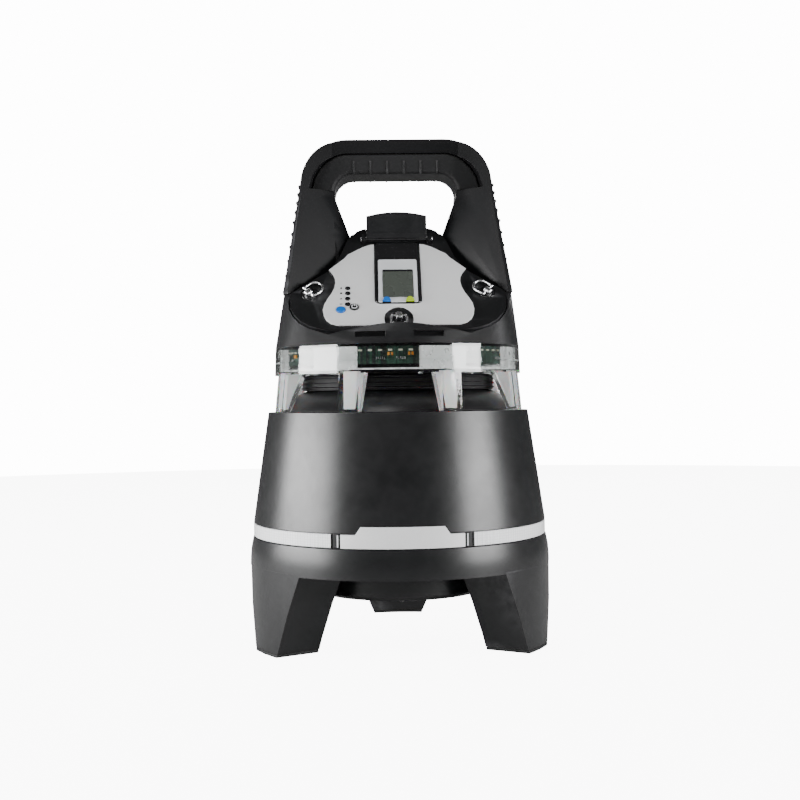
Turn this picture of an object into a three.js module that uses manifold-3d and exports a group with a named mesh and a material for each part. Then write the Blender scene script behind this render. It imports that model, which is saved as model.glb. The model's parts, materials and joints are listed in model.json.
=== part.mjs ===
// Portable area gas monitor: a battery base on three feet, a conical body with a siren under a clear light
// ring, and an upper housing whose carrying handle spans a sloping control module with a docked handheld
// gas detector. Millimetres, +Z up, origin on the floor at the centre of the base, front facing -Y.
import * as THREE from "three";
import { ConvexGeometry } from "three/addons/geometries/ConvexGeometry.js";
import { mergeVertices } from "three/addons/utils/BufferGeometryUtils.js";
import Module from "manifold-3d";

const wasm = await Module();
wasm.setup();

// ---- driving dimensions ----
const GAP = 0.3;
const ROUND = 48; // facets of a large round part

const BASE_R = 150;
const BASE_TOP_R = 147;
const BASE_TOP = 105.5;
const FOOT_TOP = 78;
const FOOT_FLARE = 0.385; // gain in half width per mm of height
const PAD_H = 3;
const FOOT_INNER_R = 108; // at the top of each foot
// Each foot on the floor: degrees from the front towards +X, radius inside, radius outside, half width.
const FEET = [[60, FOOT_INNER_R, 151.5, 22.5], [180, 137, BASE_R, 26.5], [300, FOOT_INNER_R, 151.5, 22.5]];
const COVER_R = 87.5;
const COVER_Z = 49.5;
const COVER_T = 3.5;

const BAND_TOP = 120;
const BAND_R = 144;
const STRIP_T = 1.5;
const BODY_R0 = 146.4;
const BODY_R1 = 130.5;
const BODY_TOP = 228.5;
const DOME_TOP = 254;
const WALL = 4;

const RING_R = 122.6;
const RING_BOTTOM = 265;
const RING_TOP = 291.6;
const STRUTS = 8;
const STRUT_W = 20;
const LAMPS = 7; // light units, with a frosted block between each two
const LAMP_TURN = 20.2; // degrees from the front to the first block
const DRUM_R = 96;

const HOUSING_Z = 292;
const LEG_Z = 341.5; // seam between the housing and the handle legs
const LIP_TOP = 302; // front wall below the control module
const LIP_REACH = 0.62; // sine of its half angle
const RIM_DROP = 2.5; // from the module's face down to the housing's rim round it
const LEG_CORNERS = [[109, 66], [100, 76]]; // of the housing where the legs stand on it
const SHOULDER_R = 112.5;
const LEG_R = 110;
const HANDLE_TOP = 498;
const SLOPE = THREE.MathUtils.degToRad(50); // slope of the control module
const MODULE_Y = -112;
const MODULE_Z = 300;
const PLATE_T = 8;

// Control module outlines and places in the slope's own plane: x across, y up the slope, z out of it.
const PLATE_HALF = [[0, 147], [24, 146], [34, 143], [40, 139.5], [41, 137], [45, 134.5], [49, 126],
  [56, 103], [65, 85.5], [101.5, 55], [102.5, 46], [101.5, 36], [98, 27], [92, 18.5], [83, 12], [72, 8],
  [58, 5.3], [41, 4], [0, 4]];
const FASCIA_HALF = [[22.4, 119.5], [26, 119], [33, 116], [48, 105.5], [51, 100.5], [66, 84.5], [62.4, 79],
  [60.1, 73], [59.6, 67], [60.6, 60], [63.4, 52], [67, 45], [69.8, 38], [70.8, 31], [70, 24], [67.5, 18],
  [63, 13.5], [57, 11.2], [12.6, 10.8], [13.4, 16]];
const BAY_HALF = 22.4;
const BAY_LOW = 37.9;
const BAY_HIGH = 123.1;
const STUDS = [["left", -84.5, 53.5, 41], ["right", 84.5, 53.5, 139], ["bottom", 0, 21, -90]];
const STUD_R = 7.6;
const RING_W = 3.2; // height of the pull rings' pivots above the plate
const PIVOT_HALF = 1.2; // half thickness of the pull rings
const RING_HALF = 8.2; // outer half width of a pull ring
const RING_REACH = 7.8; // from its pivot to the centre of its round end
const PIVOT = { y: 125, z: 3.4 }; // clamp flap hinge
const FLAP_HALF = 29.5;
const INDICATORS = [59.2, 52.4, 45.3, 38.2].map((y) => [-47.8, y]);
const POWER = [-41.5, 34.2];
const POWER_R = 4.1;
const ALARM_BUTTON = [-54.2, 31];
const ALARM_R = [4.4, 4.2];

// ---- helpers ----
const rad = THREE.MathUtils.degToRad;

// A closed geometry as a manifold solid, with its faces turned outwards.
function solid(geometry) {
  const bare = geometry.clone();
  for (const name of Object.keys(bare.attributes)) if (name !== "position") bare.deleteAttribute(name);
  const merged = mergeVertices(bare, 1e-3);
  const triVerts = new Uint32Array(merged.index.array);
  const vertProperties = merged.attributes.position.array;
  const made = new wasm.Manifold(new wasm.Mesh({ numProp: 3, vertProperties, triVerts }));
  if (made.volume() > 0) return made;
  for (let i = 0; i < triVerts.length; i += 3) {
    const first = triVerts[i];
    triVerts[i] = triVerts[i + 1];
    triVerts[i + 1] = first;
  }
  return new wasm.Manifold(new wasm.Mesh({ numProp: 3, vertProperties, triVerts }));
}

function geometryOf(made) {
  const mesh = made.getMesh();
  const count = mesh.vertProperties.length / mesh.numProp;
  const xyz = new Float32Array(count * 3);
  for (let i = 0; i < count; i++) {
    xyz.set(mesh.vertProperties.subarray(i * mesh.numProp, i * mesh.numProp + 3), i * 3);
  }
  const geometry = new THREE.BufferGeometry();
  geometry.setAttribute("position", new THREE.BufferAttribute(xyz, 3));
  geometry.setIndex(new THREE.BufferAttribute(mesh.triVerts, 1));
  geometry.computeVertexNormals();
  return geometry;
}

const join = (first, ...rest) => rest.reduce((sum, next) => sum.add(next), first);
const cut = (first, ...rest) => rest.reduce((sum, next) => sum.subtract(next), first);

// Solid of revolution about Z from closed [radius, height] points.
function lathe(points, segments = ROUND) {
  const outline = points.map(([r, z]) => new THREE.Vector2(r, z));
  if (points[0][0] > 0 || points.at(-1)[0] > 0) outline.push(outline[0].clone());
  return solid(new THREE.LatheGeometry(outline, segments).rotateX(Math.PI / 2));
}

function shapeOf(points) {
  return new THREE.Shape(points.map(([x, y]) => new THREE.Vector2(x, y)));
}

// Outline in XY, raised from z0 to z1.
function prism(outline, z0, z1, curveSegments = 6) {
  const shape = Array.isArray(outline) ? shapeOf(outline) : outline;
  const options = { depth: z1 - z0, bevelEnabled: false, curveSegments };
  return solid(new THREE.ExtrudeGeometry(shape, options).translate(0, 0, z0));
}

// Outline in XZ (a front view), running from y0 to y1.
function frontPrism(outline, y0, y1) {
  const shape = Array.isArray(outline) ? shapeOf(outline) : outline;
  const geometry = new THREE.ExtrudeGeometry(shape, { depth: y1 - y0, bevelEnabled: false });
  return solid(geometry.rotateX(Math.PI / 2).translate(0, y1, 0));
}

// Outline in YZ (a side view), running from -half to +half along X.
function sidePrism(outline, half) {
  const geometry = new THREE.ExtrudeGeometry(shapeOf(outline), { depth: 2 * half, bevelEnabled: false });
  const turn = new THREE.Matrix4().set(0, 0, 1, -half, 1, 0, 0, 0, 0, 1, 0, 0, 0, 0, 0, 1);
  return solid(geometry.applyMatrix4(turn));
}

function block(x0, x1, y0, y1, z0, z1) {
  const geometry = new THREE.BoxGeometry(x1 - x0, y1 - y0, z1 - z0);
  return solid(geometry.translate((x0 + x1) / 2, (y0 + y1) / 2, (z0 + z1) / 2));
}

function disc(radius, z0, z1, x = 0, y = 0, segments = 24) {
  const geometry = new THREE.CylinderGeometry(radius, radius, z1 - z0, segments).rotateX(Math.PI / 2);
  return solid(geometry.translate(x, y, (z0 + z1) / 2));
}

// Solid between two outlines of the same number of 3-D points.
function loft(front, back) {
  const count = front.length;
  const points = [...front, ...back].flat();
  const flat = front.map(([x, , z]) => new THREE.Vector2(x, z));
  const way = Math.sign(THREE.ShapeUtils.area(flat));
  const cap = THREE.ShapeUtils.triangulateShape(flat, []).map(([a, b, c]) => {
    const same = Math.sign(THREE.ShapeUtils.area([flat[a], flat[b], flat[c]])) === way;
    return same ? [a, b, c] : [a, c, b];
  });
  const index = cap.flatMap(([a, b, c]) => [a, b, c, c + count, b + count, a + count]);
  for (let i = 0; i < count; i++) {
    const j = (i + 1) % count;
    index.push(j, i, i + count, j, i + count, j + count);
  }
  const geometry = new THREE.BufferGeometry();
  geometry.setAttribute("position", new THREE.Float32BufferAttribute(points, 3));
  geometry.setIndex(index);
  return solid(geometry);
}

// A solid turned about Z, from the front towards +X.
const turned = (made, degrees) => made.rotate([0, 0, degrees]);

// Both halves of an outline from its +X half, listed from the centre round to the centre.
function mirrored(half) {
  const other = half.filter(([x]) => x > 0).map(([x, y]) => [-x, y]).reverse();
  return [...half, ...other];
}

// Sector of a ring between two angles from the front.
function arcBand(r0, r1, z0, z1, from, to) {
  const steps = Math.max(2, Math.round((to - from) / 7.5));
  const at = (r, i) => {
    const a = rad(from + ((to - from) * i) / steps);
    return [r * Math.sin(a), -r * Math.cos(a)];
  };
  const outer = Array.from({ length: steps + 1 }, (_, i) => at(r1, i));
  const inner = Array.from({ length: steps + 1 }, (_, i) => at(r0, steps - i));
  return prism([...outer, ...inner], z0, z1);
}

function roundedRect(x0, x1, y0, y1, r) {
  const shape = new THREE.Shape();
  shape.moveTo(x0 + r, y0);
  shape.lineTo(x1 - r, y0);
  shape.absarc(x1 - r, y0 + r, r, -Math.PI / 2, 0, false);
  shape.lineTo(x1, y1 - r);
  shape.absarc(x1 - r, y1 - r, r, 0, Math.PI / 2, false);
  shape.lineTo(x0 + r, y1);
  shape.absarc(x0 + r, y1 - r, r, Math.PI / 2, Math.PI, false);
  shape.lineTo(x0, y0 + r);
  shape.absarc(x0 + r, y0 + r, r, Math.PI, 1.5 * Math.PI, false);
  return shape;
}

// ---- materials ----
const finish = (color, roughness, metalness = 0) =>
  new THREE.MeshStandardMaterial({ color, roughness, metalness });
const materials = {
  black: finish(0x17181a, 0.45),
  rubber: finish(0x101112, 0.8),
  clear: finish(0xdfe6e6, 0.08),
  frosted: finish(0xf2f4f4, 0.5),
  silver: finish(0xbfc1c3, 0.35, 0.4),
  reflective: finish(0xdadddd, 0.25),
  steel: finish(0xd0d2d4, 0.2, 1),
  board: finish(0x1c3a2a, 0.5),
  display: finish(0x5d665c, 0.15),
  white: finish(0xe6e8ea, 0.35),
  blue: finish(0x1a6fc4, 0.35),
  green: finish(0xb7d21c, 0.35),
  battery: finish(0x2f4a63, 0.5),
  lens: finish(0x0c0d0e, 0.15),
};

const monitor = new THREE.Group();
const module = new THREE.Group();
module.position.set(0, MODULE_Y, MODULE_Z);
module.rotation.set(SLOPE, 0, 0);
monitor.add(module);
const rear = new THREE.Group();
rear.position.set(0, -MODULE_Y, MODULE_Z);
rear.rotation.set(SLOPE, 0, Math.PI, "ZYX");
monitor.add(rear);

function part(name, made, material, group = monitor) {
  const mesh = new THREE.Mesh(geometryOf(made), materials[material]);
  mesh.name = name;
  group.add(mesh);
  return mesh;
}

// ---- battery base ----
function footPrism([, floorInner, floorR, floorHalf], z0, z1) {
  const half = (z) => floorHalf + FOOT_FLARE * z;
  const radius = (z) => floorR + ((BASE_R - floorR) * z) / FOOT_TOP;
  const inner = (z) => floorInner + ((FOOT_INNER_R - floorInner) * z) / FOOT_TOP;
  const outline = [[-half(z0), z0], [half(z0), z0], [half(z1), z1], [-half(z1), z1]];
  const top = Math.min(z1, FOOT_TOP);
  const ring = lathe([[inner(z0), z0], [radius(z0), z0], [radius(top), top], [radius(top), z1],
    [inner(z1), z1]]);
  return frontPrism(outline, -BASE_R - 10, -FOOT_INNER_R + 12).intersect(ring);
}

function base() {
  const wellR = COVER_R + 0.5;
  const shell = lathe([[wellR, FOOT_TOP], [BASE_R, FOOT_TOP], [BASE_R - 0.2, 86], [BASE_R - 0.9, 95],
    [BASE_TOP_R, BASE_TOP], [BASE_TOP_R - 7, BASE_TOP], [BASE_TOP_R - 7, FOOT_TOP + 6],
    [wellR, FOOT_TOP + 6]]);
  const feet = FEET.map((foot) => turned(footPrism(foot, PAD_H + GAP, FOOT_TOP + 2), foot[0]));
  part("battery_housing", join(shell, ...feet), "black");
  FEET.forEach((foot, i) => {
    part("foot_pad_" + (i + 1), turned(footPrism(foot, 0, PAD_H), foot[0]), "rubber");
  });

  const wall = COVER_R - COVER_T;
  const cover = lathe([[0, COVER_Z], [wall, COVER_Z], [COVER_R, COVER_Z + COVER_T], [COVER_R, FOOT_TOP + 6],
    [wall, FOOT_TOP + 6], [wall, COVER_Z + COVER_T], [0, COVER_Z + COVER_T]]);
  part("battery_cover", cover, "black");
  part("battery_pack", disc(82, 54, 98, 0, 0, 32), "battery");
  for (let i = 0; i < 3; i++) {
    const a = rad(i * 120);
    const screw = disc(4.2, COVER_Z - 2.6, COVER_Z - GAP, 68 * Math.sin(a), -68 * Math.cos(a), 12);
    part("cover_screw_" + (i + 1), screw, "steel");
  }
}

// ---- conical body, reflective band and siren ----
function body() {
  const dome = Array.from({ length: 6 }, (_, i) => {
    const t = (i / 5) * (Math.PI / 2);
    return [58 + 58 * Math.cos(t), 229 + (DOME_TOP - 229) * Math.sin(t)];
  });
  const inner = dome.map(([r, z]) => [r - 2, z - WALL]).reverse();
  const shell = lathe([[BAND_R, BASE_TOP + GAP], [BAND_R, BAND_TOP], [BODY_R0, BAND_TOP],
    [BODY_R1, BODY_TOP], ...dome, ...inner, [BODY_R1 - WALL, BODY_TOP - WALL],
    [BODY_R0 - WALL - 2, BAND_TOP], [BAND_R - WALL, BASE_TOP + GAP]]);
  part("lower_body", shell, "black");

  const z0 = BASE_TOP + GAP + 0.7;
  const z1 = BAND_TOP - 0.8;
  const r0 = BAND_R + 0.8;
  const r1 = r0 + STRIP_T;
  part("strip_right", arcBand(r0, r1, z0, z1, 26.5, 148), "reflective");
  part("strip_left", arcBand(r0, r1, z0, z1, -148, -26.5), "reflective");
  part("strip_rear", arcBand(r0, r1, z0, z1, 153, 207), "reflective");
  const raised = arcBand(BODY_R0 + GAP, r1 + 1, z1 - 1, z1 + 7, -16.8, 16.8);
  part("name_plate", join(arcBand(r0, r1 + 1, z0, z1, -22.5, 22.5), raised), "silver");
  part("band_clip_right", arcBand(r0, r1 - 0.6, z0, z1, 23.2, 25.8), "black");
  part("band_clip_left", arcBand(r0, r1 - 0.6, z0, z1, -25.8, -23.2), "black");

  const underside = dome.slice(3).map(([r, z]) => [r, z + 0.8]).reverse();
  const drum = lathe([[0, 234], [46, 234], [46, 255], ...underside, [DRUM_R, 249], [DRUM_R, 263],
    [DRUM_R - 4, 264.4], [50, 264.4], [46, 281], [0, 281]]);
  part("siren", drum, "black");
  part("control_board", block(-60, 60, -60, 60, 190, 191.6), "board");
  part("sample_pump", block(-38, 38, -22, 30, 150, 186), "black");
  const deck = lathe([[0, 124], [138, 124], [138, 127], [0, 127]]);
  part("chassis_plate", deck, "steel");
}

// ---- light ring ----
function lightRing() {
  const shell = lathe([[98, RING_BOTTOM], [RING_R + 1, RING_BOTTOM], [RING_R, RING_TOP],
    [RING_R - 3, RING_TOP], [RING_R - 2.6, RING_BOTTOM + 2.4], [98, RING_BOTTOM + 2.4]]);
  const side = [[-RING_R - 4, BODY_TOP + 0.8], [-117.5, BODY_TOP + 0.8],
    [-101, RING_BOTTOM + 1], [-RING_R - 0.6, RING_BOTTOM + 1]];
  const strut = sidePrism(side, STRUT_W / 2);
  const clear = lathe([[0, BODY_TOP], [BODY_R1 - 3, BODY_TOP], [RING_R + 0.8, RING_BOTTOM + 2],
    [0, RING_BOTTOM + 2]]);
  const struts = Array.from({ length: STRUTS }, (_, i) => turned(strut, 22.5 + (i * 360) / STRUTS));
  part("light_ring", join(shell, ...struts.map((s) => s.intersect(clear))), "clear");

  const floor = lathe([[99, 268], [118, 268], [118, 269.4], [99, 269.4]]);
  const frosted = arcBand(112, 118.6, 268, 289.5, -11, 11);
  const blocks = Array.from({ length: LAMPS }, (_, i) => turned(frosted, LAMP_TURN + (i * 360) / LAMPS));
  part("light_diffuser", join(floor, ...blocks), "frosted");
  part("led_board", lathe([[52, 283], [110.5, 283], [110.5, 284.8], [52, 284.8]]), "board");
}

// ---- upper housing, handle ----
// Front-view outlines, right half, from the top centre round to the bottom centre.
const SEAM_LINE = [[44, 404], [57, 379], [66, 365.5], [103, LEG_Z]];

// Envelope that limits how far every upper part stands out from the axis.
const envelope = () =>
  lathe([[0, HOUSING_Z], [RING_R, HOUSING_Z], [128, 318], [130, 345], [107, 440], [101, 500], [0, 500]]);

// A solid made in the control module's plane, put in its place.
const onModule = (made) => made.rotate([50, 0, 0]).translate([0, MODULE_Y, MODULE_Z]);
const bothWays = (made) => [made, made.rotate([0, 0, 180])];

// What lies above the module's mounting plane from a height up the slope on, and the same behind.
const slopes = (offset, from = -400) => bothWays(onModule(block(-400, 400, from, 400, offset, 400)));

// Everything in front of the plane y = at + perX x + perZ (z - 379), within the handle's height.
function ahead(at, perX, perZ) {
  const corners = [[-150, 320], [150, 320], [150, 520], [-150, 520]];
  const y = (x, z) => at + perX * x + perZ * (z - 379);
  return loft(corners.map(([x, z]) => [x, -400, z]), corners.map(([x, z]) => [x, y(x, z), z]));
}

// What lies in front of the handle: a leaning plane before the grip, and planes that slant forwards to the
// outer side of each leg. The same lies behind.
function legFaces() {
  const front = ahead(-40, 0, 0.123)
    .intersect(ahead(2.4, -0.71, 0.14))
    .intersect(ahead(2.4, 0.71, 0.14));
  return bothWays(front);
}

// The hand opening, which widens from the middle towards the front and the back.
function handOpening() {
  const middle = mirrored([[0, 464], [42, 464], [47.5, 463.1], [52.5, 460.6], [56.8, 456.6], [59.6, 451.6],
    [60.5, 446], [60, 440], [46, 402], [17.7, 325], [0, 325]]);
  const flared = mirrored([[0, 475], [50, 475], [57, 473.6], [63.5, 469.8], [69, 463.8], [72.4, 456.5],
    [73.6, 449], [72.8, 440], [64.5, 402], [47.7, 325], [0, 325]]);
  const straight = 22; // half depth of the unflared middle
  const at = (y) => {
    const k = Math.max(0, (Math.abs(y) - straight) / 18);
    return middle.map(([x, z], i) => [x + (flared[i][0] - x) * k, y, z + (flared[i][1] - z) * k]);
  };
  return [loft(at(-70), at(-straight)), loft(at(-straight), at(straight)), loft(at(straight), at(70))];
}

// Lower part of the housing: a hull from the light ring up to the legs and round the control module's rim.
function chin() {
  const points = [];
  for (let i = 0; i < ROUND; i++) {
    const a = (i * 2 * Math.PI) / ROUND;
    const [x, y] = [Math.sin(a), Math.cos(a)];
    points.push(new THREE.Vector3(RING_R * x, RING_R * y, HOUSING_Z));
    points.push(new THREE.Vector3(SHOULDER_R * x, SHOULDER_R * y, LEG_Z - GAP));
    if (Math.abs(x) < LIP_REACH) points.push(new THREE.Vector3(RING_R * x, RING_R * y, LIP_TOP));
  }
  const onSlope = new THREE.Matrix4().makeRotationX(SLOPE).setPosition(0, MODULE_Y, MODULE_Z);
  for (const [x, y] of mirrored(PLATE_HALF).filter((p) => p[1] < 55)) {
    const p = new THREE.Vector3(x * 1.015, y - 0.8, -RIM_DROP).applyMatrix4(onSlope);
    points.push(p, new THREE.Vector3(p.x, -p.y, p.z));
  }
  for (const [x, y] of LEG_CORNERS) {
    for (const [u, v] of [[x, y], [x, -y], [-x, y], [-x, -y]]) {
      points.push(new THREE.Vector3(u, v, LEG_Z - GAP));
    }
  }
  const band = block(-150, 150, -150, 150, HOUSING_Z, LEG_Z - GAP);
  const hull = solid(new ConvexGeometry(points)).intersect(band);
  const seat = prism(mirrored(PLATE_HALF.map(([x, y]) => [x * 1.008, y - 0.6])), -PLATE_T - GAP, 60);
  const notch = block(13, 41, -150, -112, LIP_TOP - 4, LIP_TOP + 1);
  return cut(hull, ...slopes(-RIM_DROP, 3), ...bothWays(onModule(seat)), ...bothWays(notch),
    ...bothWays(notch.mirror([1, 0, 0])));
}

function upper() {
  const limit = envelope();
  const hub = mirrored([[0, 413], [20, 413], [30, 411], [37.5, 407.6], [38.5, 404.8], [42, 403.6],
    ...SEAM_LINE.map(([x, z]) => [x - GAP, z - GAP]), [103, 330], [0, 330]]);
  const crest = cut(frontPrism(hub, -140, 140).intersect(limit), ...slopes(-PLATE_T - GAP));
  const hollow = lathe([[0, HOUSING_Z - 1], [RING_R - WALL, HOUSING_Z - 1], [112, 318], [106, 334],
    [70, 340], [44, 352], [0, 356]]);
  const cavity = cut(hollow, ...slopes(-PLATE_T - WALL));
  const pocket = onModule(block(-26, 26, 37, 127, -42, 40));
  part("upper_housing", cut(join(crest, chin()), cavity, pocket), "black");
  part("top_board", block(-50, 50, -20, 60, 300, 301.6), "board");

  const silhouette = new THREE.Shape();
  const inner = mirrored([[0, 484], [50, 484], [59, 482.2], [67.5, 477.6], [75, 470.5], [81, 461],
    [84.8, 446.5], [50, 446.5], [50, 425], ...SEAM_LINE]).map(([x, z]) => new THREE.Vector2(x, z));
  silhouette.moveTo(LEG_R, LEG_Z);
  silhouette.lineTo(92.6, 455);
  silhouette.bezierCurveTo(89, 478, 73, HANDLE_TOP, 48, HANDLE_TOP);
  silhouette.lineTo(-48, HANDLE_TOP);
  silhouette.bezierCurveTo(-73, HANDLE_TOP, -89, 478, -92.6, 455);
  silhouette.lineTo(-LEG_R, LEG_Z);
  const bottom = Math.ceil(inner.length / 2);
  for (const p of [...inner.slice(bottom), ...inner.slice(0, bottom)]) silhouette.lineTo(p.x, p.y);
  const raw = frontPrism(silhouette, -140, 140).intersect(limit);
  part("handle", cut(raw, ...legFaces(), ...handOpening()), "black");

  const grip = mirrored([[0, 483.6], [49.9, 483.6], [58.8, 481.9], [67.2, 477.3], [74.6, 470.3], [80.6, 460.9],
    [84.3, 446.9], [50, 446.9], [0, 446.9]]);
  const bar = frontPrism(grip, -25, 25);
  part("handle_grip", cut(bar, ...handOpening()), "rubber");
}

// ---- control module, in its own plane: x across, y up the slope, z out of it ----
// Rounded lower corner of the detector bay on one side, from the side wall to the floor.
const bayFoot = (side) =>
  [[BAY_HALF, BAY_LOW + 5], [BAY_HALF - 0.7, BAY_LOW + 2.4], [BAY_HALF - 2.4, BAY_LOW + 0.7],
    [BAY_HALF - 5, BAY_LOW]].map(([x, y]) => [side * x, y]);
const oval = (x, y, rx, ry, z0, z1) =>
  disc(1, z0, z1, 0, 0, 16).scale([rx, ry, 1]).translate([x, y, 0]);

function controlModule() {
  const bayOutline = [[-BAY_HALF, BAY_HIGH], ...bayFoot(-1), ...bayFoot(1).reverse(), [BAY_HALF, BAY_HIGH]];
  const bay = prism(bayOutline, -20, 20);
  const flapSpace = block(-FLAP_HALF - 0.6, FLAP_HALF + 0.6, BAY_HIGH - 0.1, 150, -5.5, 20);
  const studHoles = STUDS.map(([, x, y]) => disc(STUD_R + 0.5, -5.5, 20, x, y, 20));
  const buttonWells = [disc(POWER_R + 0.5, -3.5, 20, ...POWER, 16),
    oval(...ALARM_BUTTON, ALARM_R[0] + 0.5, ALARM_R[1] + 0.5, -3.5, 20)];
  const slab = prism(mirrored(PLATE_HALF), -PLATE_T, 0);
  const plate = cut(slab, bay, flapSpace, ...studHoles, ...buttonWells);
  const pinHole = disc(2, -40, 40, 0, 0, 12).rotate([0, 90, 0]).translate([0, PIVOT.y, PIVOT.z]);
  const lug = (x) => cut(block(x - 1.7, x + 1.7, 121, 129.4, -1, 6.6), pinHole);
  part("module_plate", join(plate, lug(-32.2), lug(32.2)), "black", module);

  const outline = new THREE.Shape(FASCIA_HALF.map(([x, y]) => new THREE.Vector2(x, y)));
  outline.absarc(0, 20.5, 13.6, 0, Math.PI, false);
  for (const [x, y] of [...FASCIA_HALF].reverse()) outline.lineTo(-x, y);
  for (const [x, y] of [...bayFoot(-1), ...bayFoot(1).reverse()]) outline.lineTo(x, y);
  const lamps = INDICATORS.map(([x, y]) => oval(x, y, 2.7, 2.8, -5, 5));
  const sheet = prism(outline, GAP, 1.6, 4);
  part("fascia", cut(sheet, ...buttonWells, ...lamps), "silver", module);
  INDICATORS.forEach(([x, y], i) =>
    part("indicator_" + (i + 1), oval(x, y, 2.3, 2.4, GAP, 2), "lens", module));
  part("power_button", disc(POWER_R, -2, 2.4, ...POWER, 16), "black", module);
  part("alarm_button", oval(...ALARM_BUTTON, ...ALARM_R, -2, 2.4), "blue", module);

  for (const [side, x, y, angle] of STUDS) {
    const place = (made) => made.rotate([0, 0, angle]).translate([x, y, 0]);
    const head = join(disc(STUD_R, -5.2, 0.6, 0, 0, 20), block(-4.5, 3.6, -3.2, 3.2, 0.5, 5.2));
    part("fastener_stud_" + side, place(head), "steel", module);
    const hole = RING_HALF - 2 * PIVOT_HALF;
    const ring = new THREE.Shape();
    ring.moveTo(-PIVOT_HALF, -3.7);
    ring.lineTo(-PIVOT_HALF, -RING_HALF);
    ring.lineTo(RING_REACH, -RING_HALF);
    ring.absarc(RING_REACH, 0, RING_HALF, -Math.PI / 2, Math.PI / 2, false);
    ring.lineTo(-PIVOT_HALF, RING_HALF);
    ring.lineTo(-PIVOT_HALF, 3.7);
    ring.lineTo(PIVOT_HALF, 3.7);
    ring.lineTo(PIVOT_HALF, hole);
    ring.lineTo(RING_REACH, hole);
    ring.absarc(RING_REACH, 0, hole, Math.PI / 2, -Math.PI / 2, true);
    ring.lineTo(PIVOT_HALF, -hole);
    ring.lineTo(PIVOT_HALF, -3.7);
    const wire = prism(ring, RING_W - PIVOT_HALF, RING_W + PIVOT_HALF, 5);
    part("fastener_ring_" + side, place(wire), "steel", module);
  }

  const profile = [[123.5, 0.9], [123.5, 6.4], [126.4, 9.6], [144.5, 25], [151, 18.5], [135.5, 5.2],
    [131, 0.9]];
  const crown = new THREE.Shape();
  crown.moveTo(-FLAP_HALF, 100);
  crown.lineTo(FLAP_HALF, 100);
  crown.lineTo(FLAP_HALF, 139.5);
  crown.quadraticCurveTo(0, 145.5, -FLAP_HALF, 139.5);
  const flap = sidePrism(profile, FLAP_HALF).intersect(prism(crown, -10, 40));
  part("clamp_flap", cut(flap, pinHole), "black", module);
  part("flap_pin", disc(1.6, -34.4, 34.4, 0, 0, 12).rotate([0, 90, 0]).translate([0, PIVOT.y, PIVOT.z]),
    "steel", module);
}

// ---- handheld gas detector, in the module's plane ----
function detector() {
  const w = BAY_HALF - 0.5;
  const low = BAY_LOW + 0.5;
  const high = BAY_HIGH - 0.9; // clear of the clamp flap's swing
  part("detector_body", prism(roundedRect(-w, w, low, high, 5), -38, 2.2, 3), "black", module);
  const buttons = [["left", -11, "blue"], ["right", 11, "green"]];
  const wells = buttons.map(([, x]) => oval(x, low + 0.8, 4.1, 5.3, 2, 6));
  const bezel = prism(roundedRect(-18.6, 18.6, low + 0.4, 95.6, 1.6), 2.5, 3.8, 3);
  const window = block(-14.8, 14.8, 44.4, 82, 3, 6);
  part("detector_bezel", cut(bezel, window, ...wells), "white", module);
  part("detector_display", block(-14.4, 14.4, 44.8, 81.6, 3.3, 4), "display", module);
  for (const [name, x, material] of buttons) {
    const button = oval(x, low + 0.8, 3.8, 5, 3.3, 5.2).intersect(block(-30, 30, low + 0.6, 60, 3, 6));
    part("detector_button_" + name, button, material, module);
  }
}

// ---- rear cover with its two sockets, in the rear slope's plane ----
const REAR_HALF = [[0, 128], [40, 128], [52, 104], [62, 84], [97, 54], [98, 44], [96, 34], [92, 24],
  [84, 14.5], [72, 8], [58, 5], [0, 3.5]];
const SOCKETS = [["charging", -34, 44, 13], ["alarm_output", 34, 44, 11]];

function rearCover() {
  part("rear_cover", prism(mirrored(REAR_HALF), -PLATE_T, -2), "black", rear);
  for (const [name, x, y, r] of SOCKETS) {
    const body = cut(join(disc(r, -1.7, 6, x, y), block(x - 5, x + 5, y + r - 2, y + r + 3, -1.7, 3)),
      disc(r - 3.5, 0, 10, x, y));
    part(name + "_socket", body, "black", rear);
    const lid = join(disc(r, 6.3, 8.6, x, y), block(x - 4, x + 4, y + r - 2, y + r + 4, 6.3, 8.6),
      disc(r - 4, 3, 7, x, y));
    part(name + "_cap", lid, "rubber", rear);
  }
  for (const [i, [x, y]] of [[-50, 92], [50, 92], [-78, 30], [78, 30]].entries()) {
    part("rear_screw_" + (i + 1), disc(3.5, -1.7, -0.2, x, y, 12), "steel", rear);
  }
}

base();
body();
lightRing();
upper();
controlModule();
detector();
rearCover();

export default monitor;
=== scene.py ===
"""Looks of a portable area gas monitor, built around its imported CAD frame. Metres, +Z up, front facing -Y."""
import json
import math

import bmesh
import bpy
from mathutils import Matrix, Vector
from mathutils.bvhtree import BVHTree

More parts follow.
